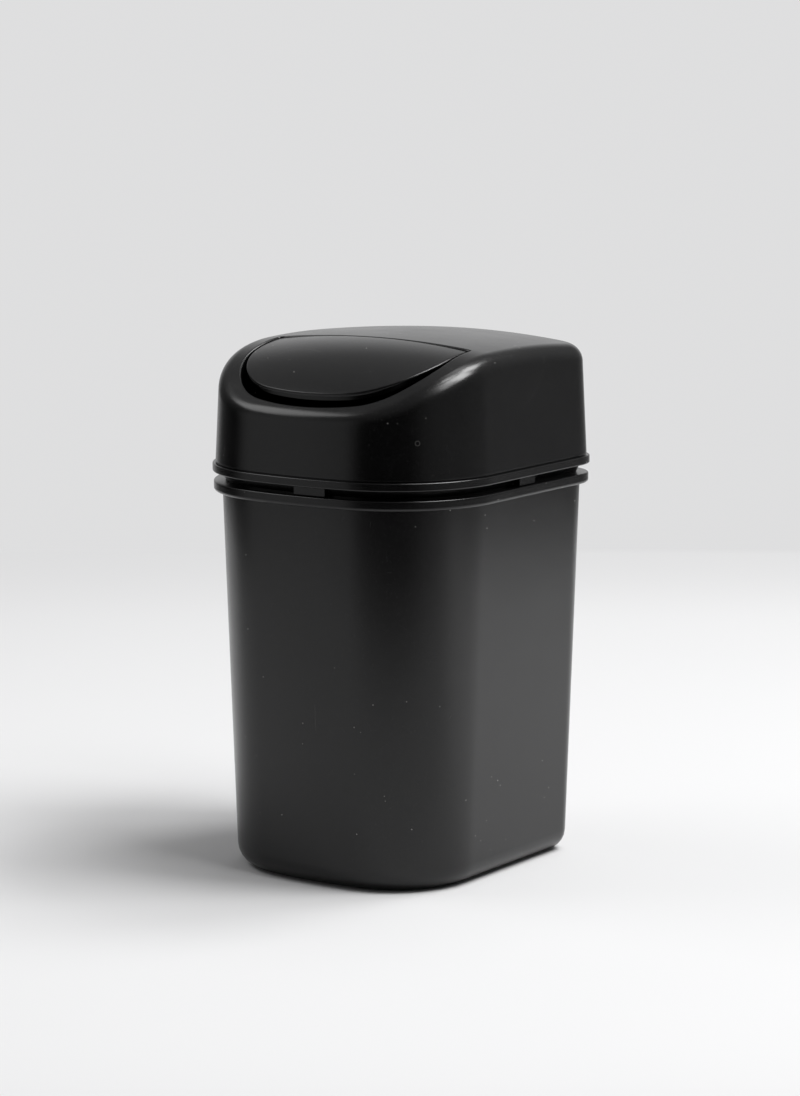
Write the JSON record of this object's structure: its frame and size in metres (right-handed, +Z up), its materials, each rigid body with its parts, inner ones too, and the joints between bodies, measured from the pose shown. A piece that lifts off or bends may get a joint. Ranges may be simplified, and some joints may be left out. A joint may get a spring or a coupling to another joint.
{
  "type": "car trash can",
  "caption": "Small waste bin with a tapered D-shaped bucket, a lift-off bag ring, and a lift-off crowned hood whose sprung flap pushes inwards and closes itself.",
  "frame": {"origin": "centre of the bin's outline at the underside of its foot", "axes": "+Z up; the bowed front, with the flap's low edge, faces -Y; +X to the right seen from the front"},
  "size_m": [0.1218, 0.1282, 0.2091],
  "materials": {
    "bucket_plastic": "black polypropylene with a fine moulded grain",
    "ring_plastic": "black polypropylene, satin",
    "hood_plastic": "black polypropylene with a fine moulded grain",
    "flap_plastic": "black polypropylene with a fine moulded grain",
    "pin_steel": "ground steel dowel",
    "spring_steel": "drawn spring wire"
  },
  "bodies": {
    "bucket": {"bucket": "bucket_plastic"},
    "bag_ring": {"bag_ring": "ring_plastic"},
    "hood": {"hood": "hood_plastic", "hinge_pin_left": "pin_steel", "hinge_pin_right": "pin_steel", "return_spring_left": "spring_steel", "return_spring_right": "spring_steel"},
    "flap": {"flap": "flap_plastic"}
  },
  "joints": [
    {"name": "ring_lift", "type": "slide", "parent": "bucket", "child": "bag_ring", "axis": [0, 0, 1], "range_m": [0, 0.1]},
    {"name": "hood_lift", "type": "slide", "parent": "bag_ring", "child": "hood", "axis": [0, 0, 1], "range_m": [0, 0.1]},
    {"name": "flap_hinge", "type": "hinge", "parent": "hood", "child": "flap", "pos_m": [0, -0.004, 0.2017], "axis": [1, 0, 0], "range_deg": [0, 70], "stiffness_Nm_per_rad": 0.02, "springref_deg": -34.38, "deforming": ["return_spring_left", "return_spring_right"]}
  ]
}
